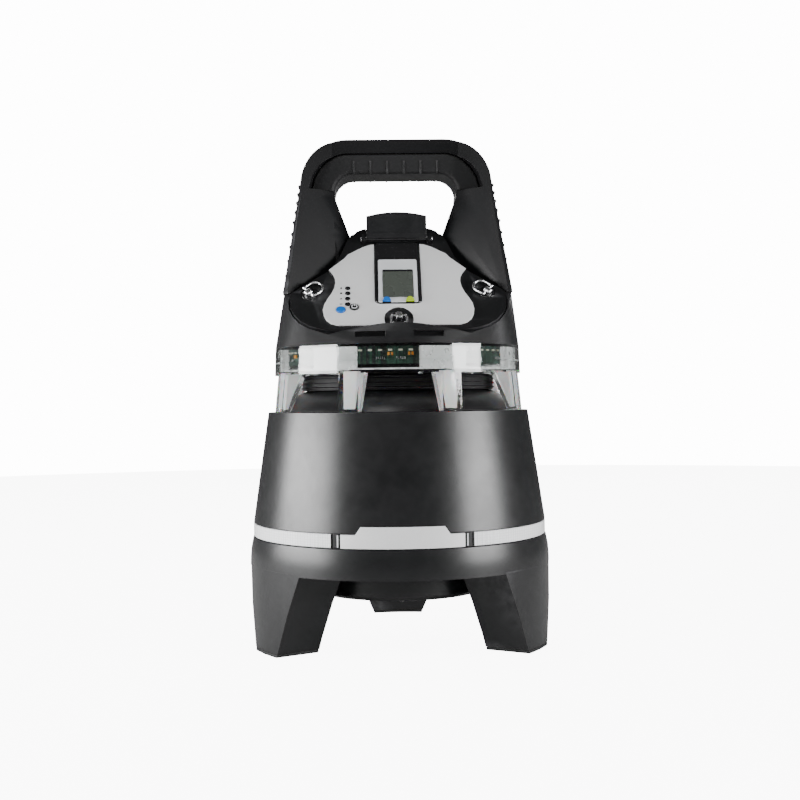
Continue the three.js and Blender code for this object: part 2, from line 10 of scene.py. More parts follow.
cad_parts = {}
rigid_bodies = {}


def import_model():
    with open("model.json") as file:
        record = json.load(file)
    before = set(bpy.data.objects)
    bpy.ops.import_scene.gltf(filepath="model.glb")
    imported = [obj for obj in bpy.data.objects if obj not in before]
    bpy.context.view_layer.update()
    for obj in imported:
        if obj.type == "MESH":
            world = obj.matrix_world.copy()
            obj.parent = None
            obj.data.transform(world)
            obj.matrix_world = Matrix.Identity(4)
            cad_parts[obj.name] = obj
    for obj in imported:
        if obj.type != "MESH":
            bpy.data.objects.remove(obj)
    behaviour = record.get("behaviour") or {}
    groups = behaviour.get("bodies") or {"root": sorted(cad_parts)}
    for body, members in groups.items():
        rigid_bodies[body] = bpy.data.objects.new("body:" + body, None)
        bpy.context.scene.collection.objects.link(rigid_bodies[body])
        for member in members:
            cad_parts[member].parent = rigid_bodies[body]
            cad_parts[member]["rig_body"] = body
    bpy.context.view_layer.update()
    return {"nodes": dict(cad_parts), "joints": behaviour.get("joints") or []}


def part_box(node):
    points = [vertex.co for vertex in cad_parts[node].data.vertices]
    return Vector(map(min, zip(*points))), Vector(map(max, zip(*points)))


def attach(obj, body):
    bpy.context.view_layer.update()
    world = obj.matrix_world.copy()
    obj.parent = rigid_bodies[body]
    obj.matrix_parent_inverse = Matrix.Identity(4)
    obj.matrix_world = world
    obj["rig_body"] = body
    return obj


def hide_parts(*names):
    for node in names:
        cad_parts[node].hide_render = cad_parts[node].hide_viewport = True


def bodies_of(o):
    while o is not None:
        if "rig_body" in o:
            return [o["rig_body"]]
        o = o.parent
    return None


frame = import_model()
MM = 0.001
JOINTS = {joint["name"]: joint for joint in frame["joints"]}


# ---- camera and light ----
def aim(obj, target):
    obj.rotation_euler = (Vector(target) - obj.location).to_track_quat("-Z", "Y").to_euler()


def make_camera():
    distance, height, yaw, roll = 1.229, 0.243, 0.021, 0.013
    data = bpy.data.cameras.new("camera")
    data.sensor_width = 36
    data.lens = 54.6
    data.shift_x = 0.0028
    data.shift_y = -0.0046
    camera = bpy.data.objects.new("camera", data)
    bpy.context.scene.collection.objects.link(camera)
    place = Matrix.Rotation(-yaw, 4, "Z") @ Matrix.Translation((0, -distance, height))
    camera.matrix_world = place @ Matrix.Rotation(math.radians(90), 4, "X") @ Matrix.Rotation(-roll, 4, "Z")
    bpy.context.scene.camera = camera


def area_light(name, place, target, size, power):
    data = bpy.data.lights.new(name, "AREA")
    data.shape = "RECTANGLE"
    data.size, data.size_y = size
    data.energy = power
    light = bpy.data.objects.new(name, data)
    light.location = place
    bpy.context.scene.collection.objects.link(light)
    aim(light, target)


def make_stage():
    scene = bpy.context.scene
    world = bpy.data.worlds.new("studio")
    scene.world = world
    world.use_nodes = True
    nodes, links = world.node_tree.nodes, world.node_tree.links
    nodes.clear()
    ray = nodes.new("ShaderNodeLightPath")
    seen = nodes.new("ShaderNodeBackground")
    seen.inputs["Color"].default_value = (1, 1, 1, 1)
    seen.inputs["Strength"].default_value = 14.0
    lit = nodes.new("ShaderNodeBackground")
    lit.inputs["Color"].default_value = (1, 1, 1, 1)
    lit.inputs["Strength"].default_value = 0.08
    mix = nodes.new("ShaderNodeMixShader")
    out = nodes.new("ShaderNodeOutputWorld")
    links.new(ray.outputs["Is Camera Ray"], mix.inputs[0])
    links.new(lit.outputs[0], mix.inputs[1])
    links.new(seen.outputs[0], mix.inputs[2])
    links.new(mix.outputs[0], out.inputs[0])

    bm = bmesh.new()
    bmesh.ops.create_circle(bm, cap_ends=True, segments=96, radius=3.0)
    data = bpy.data.meshes.new("floor")
    bm.to_mesh(data)
    bm.free()
    floor = bpy.data.objects.new("floor", data)
    floor.location.z = -0.0005
    scene.collection.objects.link(floor)
    data.materials.append(pale_floor())

    middle = (0, 0, 0.24)
    area_light("left_softbox", (-1.42, -0.3, 0.38), middle, (1.2, 0.3), 46)
    area_light("right_softbox", (1.2, -0.6, 0.38), middle, (0.7, 0.28), 24)
    area_light("top_softbox", (0, 1.1, 1.7), middle, (1.2, 0.8), 14)
    area_light("front_fill", (-0.5, -1.3, 1.5), middle, (0.7, 0.7), 9)
    area_light("back_fill", (0.3, 2.2, 1.0), middle, (1.2, 1.0), 10)


# ---- materials ----
def new_material(name):
    material = bpy.data.materials.new(name)
    material.use_nodes = True
    tree = material.node_tree
    return {"material": material, "tree": tree, "shader": tree.nodes["Principled BSDF"],
            "coord": tree.nodes.new("ShaderNodeTexCoord").outputs["Object"]}


def pale_floor():
    """Pale seamless floor: bright to the eye, dim in reflections, so dark parts stay dark."""
    kit = new_material("pale_floor")
    nodes, links = kit["tree"].nodes, kit["tree"].links
    kit["shader"].inputs["Roughness"].default_value = 0.9
    kit["shader"].inputs["Base Color"].default_value = (0.6, 0.6, 0.6, 1)
    ray = nodes.new("ShaderNodeLightPath")
    glow = nodes.new("ShaderNodeEmission")
    glow.inputs["Color"].default_value = (1, 1, 1, 1)
    glow.inputs["Strength"].default_value = 9.0
    both = nodes.new("ShaderNodeAddShader")
    links.new(kit["shader"].outputs[0], both.inputs[0])
    links.new(glow.outputs[0], both.inputs[1])
    mix = nodes.new("ShaderNodeMixShader")
    links.new(ray.outputs["Is Camera Ray"], mix.inputs[0])
    links.new(kit["shader"].outputs[0], mix.inputs[1])
    links.new(both.outputs[0], mix.inputs[2])
    links.new(mix.outputs[0], nodes["Material Output"].inputs["Surface"])
    return kit["material"]


def noise(kit, scale, detail=3, rough=0.55):
    node = kit["tree"].nodes.new("ShaderNodeTexNoise")
    node.inputs["Scale"].default_value = scale
    node.inputs["Detail"].default_value = detail
    node.inputs["Roughness"].default_value = rough
    kit["tree"].links.new(kit["coord"], node.inputs["Vector"])
    return node.outputs["Fac"]


def ramp(kit, source, low, high, start=0.3, end=0.7):
    """A value socket turned into a colour or a grey between low and high."""
    node = kit["tree"].nodes.new("ShaderNodeValToRGB")
    first, last = node.color_ramp.elements
    first.position, last.position = start, end
    first.color = low if hasattr(low, "__len__") else (low, low, low, 1)
    last.color = high if hasattr(high, "__len__") else (high, high, high, 1)
    kit["tree"].links.new(source, node.inputs[0])
    return node.outputs[0]


def bump(kit, source, strength, distance, below=None):
    node = kit["tree"].nodes.new("ShaderNodeBump")
    node.inputs["Strength"].default_value = strength
    node.inputs["Distance"].default_value = distance
    kit["tree"].links.new(source, node.inputs["Height"])
    if below is not None:
        kit["tree"].links.new(below, node.inputs["Normal"])
    return node.outputs[0]


def wear_and_edge_highlight(kit, base, edge, start=0.52, end=0.6):
    """Base colour that turns paler along convex edges, broken up by a fine noise: partly wear, partly a painted
    edge highlight.
    """
    nodes, links = kit["tree"].nodes, kit["tree"].links
    geometry = nodes.new("ShaderNodeNewGeometry")
    mask = ramp(kit, geometry.outputs["Pointiness"], 0.0, 1.0, start, end)
    mix = nodes.new("ShaderNodeMix")
    mix.data_type = "RGBA"
    broken = nodes.new("ShaderNodeMath")
    broken.operation = "MULTIPLY"
    links.new(mask, broken.inputs[0])
    links.new(ramp(kit, noise(kit, 90, 4), 0.15, 1.0, 0.35, 0.65), broken.inputs[1])
    links.new(broken.outputs[0], mix.inputs["Factor"])
    links.new(base, mix.inputs["A"])
    mix.inputs["B"].default_value = edge
    return mix.outputs["Result"]


def connect(kit, socket, source):
    kit["tree"].links.new(source, kit["shader"].inputs[socket])


def moulded(name, dark, light, rough=(0.38, 0.5), grain=2600, depth=0.00005, edge=None, coat=0.0,
            shine=0.5):
    """Moulded plastic: slight mottling, uneven gloss and a fine spark-eroded grain; when an edge colour is
    given, paler convex edges that are partly wear, partly a painted edge highlight.
    """
    kit = new_material(name)
    colour = ramp(kit, noise(kit, 14, 5), (*dark, 1), (*light, 1))
    # edge colour: paler convex edges, partly wear and partly a painted edge highlight
    if edge:
        colour = wear_and_edge_highlight(kit, colour, (*edge, 1))
    connect(kit, "Base Color", colour)
    connect(kit, "Roughness", ramp(kit, noise(kit, 55, 6, 0.7), rough[0], rough[1], 0.2, 0.8))
    broad = bump(kit, noise(kit, 45, 2), 0.03, 0.0004)
    connect(kit, "Normal", bump(kit, noise(kit, grain, 2), 0.35, depth, broad))
    kit["shader"].inputs["Specular IOR Level"].default_value = shine
    kit["shader"].inputs["Coat Weight"].default_value = coat
    kit["shader"].inputs["Coat Roughness"].default_value = 0.2
    return kit["material"]


def polished_metal(name, tint, rough, scratch=700):
    kit = new_material(name)
    kit["shader"].inputs["Metallic"].default_value = 1.0
    connect(kit, "Base Color", ramp(kit, noise(kit, 60), (*[0.82 * c for c in tint], 1), (*tint, 1)))
    connect(kit, "Roughness", ramp(kit, noise(kit, 240, 4, 0.7), rough[0], rough[1]))
    connect(kit, "Normal", bump(kit, noise(kit, scratch, 2), 0.12, 0.00003))
    return kit["material"]


def silver_lacquer():
    """Silver-lacquered overlay with fine flakes and a soft sheen."""
    kit = new_material("silver_lacquer")
    kit["shader"].inputs["Metallic"].default_value = 0.15
    connect(kit, "Base Color", ramp(kit, noise(kit, 3500, 1), (0.74, 0.745, 0.75, 1), (0.92, 0.925, 0.93, 1)))
    connect(kit, "Roughness", ramp(kit, noise(kit, 60, 4), 0.34, 0.46))
    connect(kit, "Normal", bump(kit, noise(kit, 4200, 1), 0.2, 0.00002))
    return kit["material"]


def reflective_film():
    """Retroreflective film: a lattice of tiny prism cells under a clear face."""
    kit = new_material("reflective_film")
    nodes, links = kit["tree"].nodes, kit["tree"].links
    cells = nodes.new("ShaderNodeTexVoronoi")
    cells.feature = "DISTANCE_TO_EDGE"
    cells.inputs["Scale"].default_value = 420
    cells.inputs["Randomness"].default_value = 0.15
    links.new(kit["coord"], cells.inputs["Vector"])
    web = ramp(kit, cells.outputs["Distance"], (0.72, 0.73, 0.74, 1), (0.93, 0.94, 0.95, 1), 0.02, 0.12)
    connect(kit, "Base Color", web)
    connect(kit, "Roughness", ramp(kit, noise(kit, 50), 0.28, 0.4))
    connect(kit, "Normal", bump(kit, cells.outputs["Distance"], 0.25, 0.0002))
    kit["shader"].inputs["Coat Weight"].default_value = 0.6
    kit["shader"].inputs["Coat Roughness"].default_value = 0.08
    return kit["material"]


def clear_plastic():
    """Clear polycarbonate with faint moulding haze."""
    kit = new_material("clear_plastic")
    shader = kit["shader"]
    shader.inputs["Transmission Weight"].default_value = 1.0
    shader.inputs["IOR"].default_value = 1.42
    connect(kit, "Base Color", ramp(kit, noise(kit, 25), (0.9, 0.93, 0.92, 1), (0.98, 0.99, 0.99, 1)))
    connect(kit, "Roughness", ramp(kit, noise(kit, 40, 4), 0.01, 0.09))
    connect(kit, "Normal", bump(kit, noise(kit, 150, 3), 0.25, 0.0005))
    return kit["material"]


def frosted():
    """Frosted light guide: white, scattering, with an uneven moulded surface and a faint painted glow."""
    kit = new_material("frosted_plastic")
    shader = kit["shader"]
    shader.inputs["Subsurface Weight"].default_value = 0.35
    shader.inputs["Subsurface Scale"].default_value = 0.004
    connect(kit, "Base Color", ramp(kit, noise(kit, 60, 4), (0.62, 0.64, 0.64, 1), (0.93, 0.94, 0.94, 1)))
    connect(kit, "Roughness", ramp(kit, noise(kit, 70), 0.35, 0.55))
    connect(kit, "Normal", bump(kit, noise(kit, 260, 4), 0.35, 0.0003))
    # faint white emission: a painted glow, since no lit lamp stands behind the guide
    shader.inputs["Emission Color"].default_value = (1, 1, 1, 1)
    shader.inputs["Emission Strength"].default_value = 0.3
    return kit["material"]


def hazy_plastic():
    """Light diffuser: half clear, half scattering, streaked by its moulded prisms, with a faint painted glow.
    """
    kit = new_material("hazy_plastic")
    shader = kit["shader"]
    shader.inputs["Transmission Weight"].default_value = 0.5
    shader.inputs["IOR"].default_value = 1.3
    connect(kit, "Base Color", ramp(kit, noise(kit, 60, 4), (0.7, 0.72, 0.71, 1), (0.95, 0.96, 0.96, 1)))
    connect(kit, "Roughness", ramp(kit, noise(kit, 70), 0.15, 0.4))
    connect(kit, "Normal", bump(kit, noise(kit, 180, 4), 0.4, 0.0006))
    # faint white emission: a painted glow that brightens the diffuser, whose lamps are unlit
    shader.inputs["Emission Color"].default_value = (1, 1, 1, 1)
    shader.inputs["Emission Strength"].default_value = 0.22
    return kit["material"]


def circuit():
    """Green solder mask with darker tracks and pale pads."""
    kit = new_material("circuit_board")
    nodes, links = kit["tree"].nodes, kit["tree"].links
    tracks = nodes.new("ShaderNodeTexBrick")
    tracks.inputs["Scale"].default_value = 160
    tracks.inputs["Color1"].default_value = (0.012, 0.05, 0.03, 1)
    tracks.inputs["Color2"].default_value = (0.02, 0.085, 0.05, 1)
    tracks.inputs["Mortar"].default_value = (0.006, 0.02, 0.013, 1)
    tracks.inputs["Mortar Size"].default_value = 0.06
    links.new(kit["coord"], tracks.inputs["Vector"])
    connect(kit, "Base Color", tracks.outputs["Color"])
    connect(kit, "Roughness", ramp(kit, noise(kit, 80), 0.3, 0.5))
    connect(kit, "Normal", bump(kit, tracks.outputs["Fac"], 0.3, 0.00008))
    return kit["material"]


def display_glass():
    """Grey-green liquid crystal under a glossy window, with a faint pixel grid."""
    kit = new_material("display_glass")
    nodes, links = kit["tree"].nodes, kit["tree"].links
    grid = nodes.new("ShaderNodeTexChecker")
    grid.inputs["Scale"].default_value = 2200
    grid.inputs["Color1"].default_value = (0.062, 0.072, 0.062, 1)
    grid.inputs["Color2"].default_value = (0.078, 0.088, 0.076, 1)
    links.new(kit["coord"], grid.inputs["Vector"])
    connect(kit, "Base Color", grid.outputs["Color"])
    connect(kit, "Roughness", ramp(kit, noise(kit, 70), 0.22, 0.34))
    kit["shader"].inputs["Coat Weight"].default_value = 0.5
    kit["shader"].inputs["Coat Roughness"].default_value = 0.05
    return kit["material"]


M = {
    # the edge colours below paint paler convex edges: partly wear, partly a painted edge highlight
    "black": moulded("black_plastic", (0.006, 0.0062, 0.0068), (0.011, 0.0113, 0.012), (0.3, 0.38),
                     edge=(0.05, 0.05, 0.053), shine=0.38),
    "gloss_black": moulded("gloss_black", (0.006, 0.006, 0.007), (0.012, 0.012, 0.013), (0.12, 0.22), 900,
                           coat=0.4),
    "matt_black": moulded("matt_black", (0.004, 0.004, 0.0045), (0.008, 0.008, 0.009), (0.6, 0.75),
                          shine=0.25),
    "satin_black": moulded("satin_black", (0.004, 0.004, 0.0045), (0.008, 0.008, 0.009), (0.4, 0.48),
                           edge=(0.04, 0.04, 0.043), shine=0.16),
    "rubber": moulded("soft_rubber", (0.007, 0.007, 0.0076), (0.012, 0.012, 0.013), (0.55, 0.7), 1800,
                      0.00008, edge=(0.04, 0.04, 0.042), shine=0.35),
    "white": moulded("silver_white", (0.62, 0.64, 0.66), (0.72, 0.74, 0.76), (0.25, 0.36), 3000, 0.00002),
    "blue": moulded("blue_key", (0.006, 0.12, 0.5), (0.01, 0.18, 0.66), (0.25, 0.35), 1500, 0.00003),
    "green": moulded("green_key", (0.38, 0.55, 0.012), (0.48, 0.66, 0.02), (0.25, 0.35), 1500, 0.00003),
    "grey_ink": moulded("grey_ink", (0.07, 0.07, 0.075), (0.1, 0.1, 0.105), (0.4, 0.5)),
    "led": moulded("led_lens", (0.75, 0.74, 0.6), (0.95, 0.94, 0.82), (0.1, 0.2), 900, coat=0.5),
    "amber": moulded("amber_part", (0.55, 0.2, 0.01), (0.75, 0.32, 0.03), (0.3, 0.4)),
    "battery": moulded("battery_case", (0.03, 0.05, 0.08), (0.045, 0.07, 0.11), (0.4, 0.55)),
    "steel": polished_metal("polished_steel", (0.93, 0.93, 0.94), (0.2, 0.34)),
    "dull_steel": polished_metal("plain_steel", (0.62, 0.62, 0.63), (0.3, 0.45)),
    "silver": silver_lacquer(),
    "film": reflective_film(),
    "clear": clear_plastic(),
    "frosted": frosted(),
    "haze": hazy_plastic(),
    "board": circuit(),
    "display": display_glass(),
}


# ---- pieces ----
def finish_piece(name, bm, body, look, nodes=(), smooth=35, bevel=0.0, segments=3):
    """A bmesh turned into a named piece that rides on a body and may stand for CAD nodes."""
    data = bpy.data.meshes.new(name)
    bmesh.ops.recalc_face_normals(bm, faces=bm.faces)
    bm.to_mesh(data)
    bm.free()
    obj = bpy.data.objects.new(name, data)
    bpy.context.scene.collection.objects.link(obj)
    data.materials.append(M[look])
    if bevel:
        modifier = obj.modifiers.new("bevel", "BEVEL")
        modifier.width = bevel
        modifier.segments = segments
        modifier.limit_method = "ANGLE"
        modifier.angle_limit = math.radians(smooth)
        weighted = obj.modifiers.new("weighted", "WEIGHTED_NORMAL")
        weighted.keep_sharp = True
        data.polygons.foreach_set("use_smooth", [True] * len(data.polygons))
        data.set_sharp_from_angle(angle=math.radians(55))
        depsgraph = bpy.context.evaluated_depsgraph_get()
        data = bpy.data.meshes.new_from_object(obj.evaluated_get(depsgraph))
        obj.modifiers.clear()
        obj.data = data
        data.name = name
    else:
        data.polygons.foreach_set("use_smooth", [True] * len(data.polygons))
        data.set_sharp_from_angle(angle=math.radians(40))
    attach(obj, body)
    if nodes:
        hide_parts(*nodes)


def body_of(node):
    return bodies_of(frame["nodes"][node])[0]


def cad_mesh(node):
    """The CAD node's solid with its vertices joined and its flat faces whole."""
    bm = bmesh.new()
    bm.from_mesh(frame["nodes"][node].data)
    bmesh.ops.remove_doubles(bm, verts=bm.verts, dist=2e-6)
    bmesh.ops.dissolve_limit(bm, angle_limit=math.radians(0.8), verts=bm.verts, edges=bm.edges)
    return bm


def carry(node, look, bevel=0.0006, segments=3, smooth=32):
    """A detailed copy of a CAD node with its edges rounded."""
    finish_piece(node + "_skin", cad_mesh(node), body_of(node), look, [node], smooth, bevel, segments)


def lathe_mesh(profile, segments=160):
    """Closed solid of revolution from [radius, height] points in millimetres."""
    bm = bmesh.new()
    rings = []
    for r, z in profile:
        ring = [bm.verts.new((r * MM * math.cos(a), r * MM * math.sin(a), z * MM))
                for a in (2 * math.pi * i / segments for i in range(segments))]
        rings.append(ring)
    for low, high in zip(rings, rings[1:] + rings[:1]):
        for i in range(segments):
            j = (i + 1) % segments
            bm.faces.new((low[i], low[j], high[j], high[i]))
    return bm


def plate_mesh(outline, low, high, place):
    """A 2-D outline in millimetres raised from low to high in a placed plane."""
    bm = bmesh.new()
    rows = []
    for z in (low, high):
        rows.append([bm.verts.new(place @ Vector((x * MM, y * MM, z * MM))) for x, y in outline])
    count = len(outline)
    bm.faces.new(rows[1])
    bm.faces.new(list(reversed(rows[0])))
    for i in range(count):
        j = (i + 1) % count
        bm.faces.new((rows[0][i], rows[0][j], rows[1][j], rows[1][i]))
    return bm


def append(bm, other):
    """Adds one bmesh to another and frees it."""
    data = bpy.data.meshes.new("part")
    other.to_mesh(data)
    bm.from_mesh(data)
    other.free()
    bpy.data.meshes.remove(data)


def oval(rx, ry, x=0.0, y=0.0, steps=40):
    return [(x + rx * math.cos(2 * math.pi * i / steps), y + ry * math.sin(2 * math.pi * i / steps))
            for i in range(steps)]


def add_box(bm, low, high, place=Matrix.Identity(4)):
    made = bmesh.ops.create_cube(bm, size=1.0)["verts"]
    low, high = Vector(low) * MM, Vector(high) * MM
    scale = Matrix.Diagonal((*(high - low), 1))
    bmesh.ops.transform(bm, verts=made, matrix=place @ Matrix.Translation((low + high) / 2) @ scale)


def add_tube(bm, path, radius, sides):
    """A round wire along a list of points in metres."""
    points = [Vector(p) for p in path]
    count = len(points)
    rings = []
    normal = None
    for i, p in enumerate(points):
        before = points[max(i - 1, 0)]
        after = points[min(i + 1, count - 1)]
        along = (after - before).normalized()
        if normal is None:
            normal = along.orthogonal().normalized()
        normal = (normal - along * normal.dot(along)).normalized()
        side = along.cross(normal)
        rings.append([bm.verts.new(p + radius * (math.cos(a) * normal + math.sin(a) * side))
                      for a in (2 * math.pi * k / sides for k in range(sides))])
    for low, high in zip(rings, rings[1:]):
        for k in range(sides):
            j = (k + 1) % sides
            bm.faces.new((low[k], low[j], high[j], high[k]))
    bm.faces.new(list(reversed(rings[0])))
    bm.faces.new(rings[-1])


def slope_place(origin, normal):
    """The plane through origin with that normal: X stays level, Y runs up the slope."""
    z = Vector(normal).normalized()
    across = Vector((0, 0, 1)).cross(z).normalized()
    up = z.cross(across)
    place = Matrix((across, up, z)).transposed().to_4x4()
    place.translation = origin
    return place


def on_plate(node, height=0.0):
    """A slope plane centred on a CAD node, height millimetres above the middle of its outermost face."""
    normal = Vector(JOINTS["module_lift"]["axis"]).normalized()
    points = [v.co for v in frame["nodes"][node].data.vertices]
    top = max(p.dot(normal) for p in points)
    low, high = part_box(node)
    middle = (low + high) / 2
    middle += normal * (top - middle.dot(normal) + height * MM)
    return slope_place(middle, normal)


# ---- base ----
def make_base():
    carry("battery_housing", "black", 0.0014, 4)
    for i in (1, 2, 3):
        carry(f"foot_pad_{i}", "rubber", 0.0007)
        low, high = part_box(f"cover_screw_{i}")
        seat = Matrix.Translation(((low.x + high.x) / 2, (low.y + high.y) / 2, high.z))
        make_screw(f"cover_screw_{i}", seat @ Matrix.Rotation(math.pi, 4, "X"), 4.2, 2.2)
    carry("battery_cover", "black", 0.0012, 4)
    carry("battery_pack", "battery", 0.0015)


def make_screw(node, place, radius, height):
    """Button-head screw with a hexagon socket; place stands at the base of its head, Z outwards."""
    bm = bmesh.new()
    profile = [(radius, 0.0), (radius, 0.35 * height), (0.86 * radius, 0.75 * height),
               (0.55 * radius, height), (0.5 * radius, height), (0.5 * radius, 0.45 * height),
               (0.02 * radius, 0.4 * height)]
    sides = 36
    rings = [[bm.verts.new(place @ Vector((r * MM * math.cos(a), r * MM * math.sin(a), z * MM)))
              for a in (2 * math.pi * k / sides for k in range(sides))] for r, z in profile]
    for ring in rings[4:6]:
        for k, vert in enumerate(ring):
            a = 2 * math.pi * k / sides
            flat = 0.44 * radius / math.cos((a % (math.pi / 3)) - math.pi / 6)
            local = place.inverted() @ vert.co
            local.x, local.y = flat * MM * math.cos(a), flat * MM * math.sin(a)
            vert.co = place @ local
    for low, high in zip(rings, rings[1:]):
        for k in range(sides):
            j = (k + 1) % sides
            bm.faces.new((low[k], low[j], high[j], high[k]))
    bm.faces.new(rings[-1])
    bm.faces.new(list(reversed(rings[0])))
    finish_piece(node + "_head", bm, body_of(node), "steel", [node])


# ---- body, band ----
def node_arc(node):
    """The angles, radii and heights a curved CAD strip spans: from, to, inner, outer, low, high."""
    verts = [v.co for v in frame["nodes"][node].data.vertices]
    angles = [math.atan2(v.x, -v.y) for v in verts]
    if max(angles) - min(angles) > math.radians(300):
        angles = [a % (2 * math.pi) for a in angles]
    radii = [math.hypot(v.x, v.y) for v in verts]
    low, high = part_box(node)
    return min(angles), max(angles), min(radii), max(radii), low.z, high.z


def arc_mesh(start, end, section_at, steps):
    """A solid swept round Z; section_at gives its [radius, height] points at an angle from the front."""
    bm = bmesh.new()
    rows = []
    for i in range(steps + 1):
        a = start + (end - start) * i / steps
        rows.append([bm.verts.new((r * math.sin(a), -r * math.cos(a), z)) for r, z in section_at(a)])
    for near, far in zip(rows, rows[1:]):
        for k in range(len(near)):
            j = (k + 1) % len(near)
            bm.faces.new((near[k], near[j], far[j], far[k]))
    bm.faces.new(rows[0])
    bm.faces.new(list(reversed(rows[-1])))
    return bm


def arc_strip(name, node, look):
    start, end, inner, outer, low, high = node_arc(node)
    edge = 0.0005
    section = [(inner, low), (outer - edge, low), (outer, low + edge), (outer, high - edge),
               (outer - edge, high), (inner, high)]
    steps = max(8, int(math.degrees(end - start) * 1.2))
    finish_piece(name, arc_mesh(start, end, lambda a: section, steps), "main", look, [node])


def make_name_plate():
    """Plain curved plate whose middle steps up over the edge of the cone."""
    start, end, inner, outer, low, high = node_arc("name_plate")
    lift = 0.0072  # height of the raised middle
    middle_end, slope_width = 0.262, 0.034  # half angle of the raised middle, and of the slope beside it
    cone = outer - 0.0009
    edge = 0.0003

    def section(a):
        reach = (abs(a) - middle_end) / slope_width
        t = 1.0 - min(1.0, max(0.0, reach))
        top = high - lift + lift * t
        step = min(top, high - lift)
        return [(inner, low), (outer - edge, low), (outer, low + edge), (outer, top - edge),
                (outer - edge, top), (cone, top), (cone, step), (inner, step)]

    finish_piece("blank_name_plate", arc_mesh(start, end, section, 90), "main", "silver", ["name_plate"])


def make_band_posts():
    """The gaps between the strips: a ribbed black post with a thin pale sliver beside it, painted as the
    highlight of a bright slit.
    """
    bm = bmesh.new()
    offset, half_angle = 0.012, 0.0045
    for side in ("right", "left"):
        start, end, inner, outer, low, high = node_arc("band_clip_" + side)
        middle = (start + end) / 2 - offset * (1 if side == "right" else -1)
        face, foot, head = outer + 0.0003, low + 0.0008, high - 0.0008
        section = [(inner, foot), (face, foot), (face, head), (inner, head)]
        append(bm, arc_mesh(middle - half_angle, middle + half_angle, lambda a: section, 2))
        carry("band_clip_" + side, "black", 0.0004)
    # pale slivers: a painted highlight standing in for the bright slit beside each post
    finish_piece("post_painted_highlights", bm, "main", "white")


def make_body():
    carry("lower_body", "black", 0.0012, 4)
    for side in ("right", "left", "rear"):
        arc_strip(f"reflector_{side}", f"strip_{side}", "film")
    make_name_plate()
    make_band_posts()
    carry("chassis_plate", "dull_steel", 0.0004)
    carry("control_board", "board", 0.0003)
    carry("sample_pump", "gloss_black", 0.002)
    make_siren()


def make_siren():
    """Sound drum: a louvred wall over the dome with a horn throat above it."""
    carry("siren", "matt_black", 0.0008)
    low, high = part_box("siren")
    radius = (high.x - low.x) / 2 / MM
    throat = 17.2
    top = high.z / MM - throat
    louvres = bmesh.new()
    for k in range(3):
        z = top - 2.2 - 4.2 * k
        append(louvres, lathe_mesh([(radius - 1, z - 2.2), (radius + 1.4, z - 2.4), (radius + 1.4, z - 1.4),
                                    (radius - 1, z)], 120))
    finish_piece("drum_louvres", louvres, "main", "matt_black")
    studs = bmesh.new()
    for k in range(9):
        turn = Matrix.Rotation(math.radians(40 * k + 13), 4, "Z")
        place = turn @ Matrix.Translation((0, -0.088, top * MM + 0.0003))
        append(studs, plate_mesh(oval(2.2, 2.2, steps=16), 0, 1.4, place))
    finish_piece("drum_screws", studs, "main", "steel", bevel=0.0003)


# ---- light ring ----
def make_ring():
    carry("light_ring", "clear", 0.0006, 2)
    carry("light_diffuser", "haze", 0.0007, 3)
    carry("led_board", "board", 0.0003)
    low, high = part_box("light_diffuser")
    make_led_band(high.z / MM)
    ring_low, ring_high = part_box("light_ring")
    outer = (ring_high.x - ring_low.x) / 2 / MM
    rib = lathe_mesh([(outer - 5.6, low.z / MM + 8.2), (outer - 3.6, low.z / MM + 8.2),
                      (outer - 3.6, low.z / MM + 9.4), (outer - 5.6, low.z / MM + 9.4)])
    finish_piece("ring_rib", rib, "main", "clear")
    make_strut_guides(ring_low, ring_high)


def make_led_band(top):
    """Upright circuit ring with its lamps, resistors and drivers, seen through the clear wall."""
    radius = 109.0
    low = top - 16.5
    band = lathe_mesh([(radius, low), (radius + 1.4, low), (radius + 1.4, top), (radius, top)])
    finish_piece("led_band", band, "main", "board")
    lamps, resistors, drivers, pins = (bmesh.new() for _ in range(4))
    count = 74
    face = -radius - 1.35
    for i in range(count):
        turn = Matrix.Rotation(2 * math.pi * (i + 0.08) / count, 4, "Z")
        add_box(lamps, (-2.0, face - 1.4, top - 4.5), (2.0, face, top - 2.7), turn)
        if i % 12 == 1:
            add_box(resistors, (-2.6, face - 1.0, top - 8.6), (-0.6, face, top - 5.6), turn)
            add_box(resistors, (0.6, face - 1.0, top - 8.6), (2.6, face, top - 5.6), turn)
        if i % 9 == 5:
            add_box(drivers, (-3.2, face - 1.2, top - 10.2), (3.2, face, top - 6.0), turn)
        if i % 6 == 0:
            for k in range(5):
                add_box(pins, (-4 + 1.9 * k, face - 0.4, top - 12.2), (-3.2 + 1.9 * k, face, top - 9.8), turn)
    finish_piece("led_lamps", lamps, "main", "led", bevel=0.0003)
    finish_piece("led_resistors", resistors, "main", "amber", bevel=0.0002)
    finish_piece("led_drivers", drivers, "main", "gloss_black", bevel=0.0002)
    finish_piece("led_pins", pins, "main", "steel")


